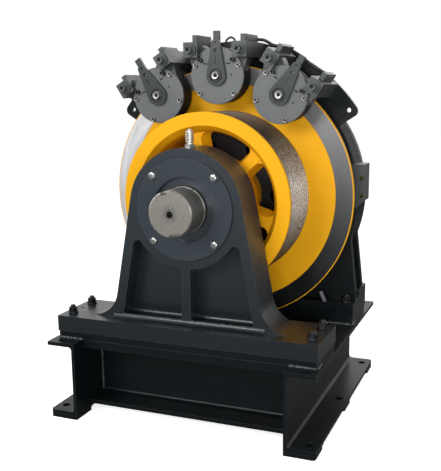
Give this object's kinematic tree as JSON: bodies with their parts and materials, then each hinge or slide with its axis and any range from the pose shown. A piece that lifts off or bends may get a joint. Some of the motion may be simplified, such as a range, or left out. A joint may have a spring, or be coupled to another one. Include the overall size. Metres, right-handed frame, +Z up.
{
  "type": "lift traction machine",
  "caption": "Gearless lift traction machine: grooved rope sheave between two pedestals on a welded frame, with a disc motor and disc brakes with hand-release levers.",
  "frame": {"origin": "centre of the four outer foundation bolt holes, at the floor face of the foot pads", "axes": "X right seen from the free shaft end, Y back along the shaft towards the motor, Z up"},
  "size_m": [0.815, 0.74, 1.113],
  "materials": {
    "dark_paint": "glossy-satin",
    "yellow_paint": "gloss",
    "grey_paint": "satin",
    "turned_steel": "turned",
    "bolt_steel": "plated",
    "black_bolt": "blackened",
    "brass_parts": "dull",
    "copper_wire": "varnished",
    "core_sheet": "laminated",
    "lining": "friction material",
    "black_plastic": "matt",
    "rubber_black": "matt"
  },
  "bodies": {
    "machine_frame": {"left_side_channel": "dark_paint", "right_side_channel": "dark_paint", "front_cross_beam": "dark_paint", "rear_cross_beam": "dark_paint", "foot_pads": "dark_paint", "front_packing_plate": "dark_paint", "rear_packing_plate": "dark_paint", "front_pedestal": "dark_paint", "rear_pedestal": "dark_paint", "pedestal_bolts": "black_bolt", "support_stud": "turned_steel", "front_bearing_cover": "dark_paint", "front_inner_cover": "dark_paint", "rear_bearing_cover": "dark_paint", "cover_bolts": "bolt_steel", "front_shaft_seal": "rubber_black", "grease_nipple": "bolt_steel", "front_bearing_outer_ring": "turned_steel", "rear_bearing_outer_ring": "turned_steel", "stator_frame": "dark_paint", "stator_core": "core_sheet", "stator_windings": "copper_wire", "brake_carrier": "dark_paint", "terminal_box": "grey_paint", "cable_sleeves": "brass_parts", "encoder": "black_plastic", "left_brake_body": "grey_paint", "middle_brake_body": "grey_paint", "right_brake_body": "grey_paint", "left_brake_cover": "grey_paint", "middle_brake_cover": "grey_paint", "right_brake_cover": "grey_paint", "brake_coils": "copper_wire", "brake_springs": "turned_steel", "fixed_linings": "lining", "brake_guide_bolts": "bolt_steel", "brake_cover_screws": "bolt_steel", "brake_switch_boxes": "grey_paint", "switch_cable": "rubber_black", "coil_lead": "rubber_black"},
    "rotor": {"main_shaft": "turned_steel", "front_bearing_inner_ring": "turned_steel", "rear_bearing_inner_ring": "turned_steel", "shaft_keys": "turned_steel", "traction_sheave": "yellow_paint", "brake_disc": "yellow_paint", "disc_bolts": "bolt_steel", "rotor_drum": "turned_steel", "rotor_magnets": "bolt_steel"},
    "front_roller_set": {"front_bearing_rollers": "turned_steel"},
    "rear_roller_set": {"rear_bearing_rollers": "turned_steel"},
    "left_hand_release": {"left_release_lever": "grey_paint", "left_release_spindle": "bolt_steel"},
    "left_armature_plate": {"left_armature": "turned_steel"},
    "middle_hand_release": {"middle_release_lever": "grey_paint", "middle_release_spindle": "bolt_steel"},
    "middle_armature_plate": {"middle_armature": "turned_steel"},
    "right_hand_release": {"right_release_lever": "grey_paint", "right_release_spindle": "bolt_steel"},
    "right_armature_plate": {"right_armature": "turned_steel"}
  },
  "joints": [
    {"name": "sheave_spin", "type": "hinge", "parent": "machine_frame", "child": "rotor", "pos_m": [0, 0, 0.625], "axis": [0, 1, 0], "continuous": true},
    {"name": "front_rollers_spin", "type": "hinge", "parent": "machine_frame", "child": "front_roller_set", "pos_m": [0, -0.221, 0.625], "axis": [0, 1, 0], "continuous": true},
    {"name": "rear_rollers_spin", "type": "hinge", "parent": "machine_frame", "child": "rear_roller_set", "pos_m": [0, 0.236, 0.625], "axis": [0, 1, 0], "continuous": true},
    {"name": "left_lever_turn", "type": "hinge", "parent": "machine_frame", "child": "left_hand_release", "pos_m": [-0.19343, -0.0446, 0.9298], "axis": [0, 1, 0], "range_deg": [-22, 22], "stiffness_Nm_per_rad": 2},
    {"name": "left_armature_slide", "type": "slide", "parent": "machine_frame", "child": "left_armature_plate", "axis": [0, -1, 0], "range_m": [0, 0.0005], "stiffness_N_per_m": 20000},
    {"name": "middle_lever_turn", "type": "hinge", "parent": "machine_frame", "child": "middle_hand_release", "pos_m": [0, -0.0446, 0.986], "axis": [0, 1, 0], "range_deg": [-22, 22], "stiffness_Nm_per_rad": 2},
    {"name": "middle_armature_slide", "type": "slide", "parent": "machine_frame", "child": "middle_armature_plate", "axis": [0, -1, 0], "range_m": [0, 0.0005], "stiffness_N_per_m": 20000},
    {"name": "right_lever_turn", "type": "hinge", "parent": "machine_frame", "child": "right_hand_release", "pos_m": [0.19343, -0.0446, 0.9298], "axis": [0, 1, 0], "range_deg": [-22, 22], "stiffness_Nm_per_rad": 2},
    {"name": "right_armature_slide", "type": "slide", "parent": "machine_frame", "child": "right_armature_plate", "axis": [0, -1, 0], "range_m": [0, 0.0005], "stiffness_N_per_m": 20000}
  ],
  "couplings": [
    {"joint": "front_rollers_spin", "follows": "sheave_spin", "ratio": 0.4219},
    {"joint": "rear_rollers_spin", "follows": "sheave_spin", "ratio": 0.4219}
  ]
}
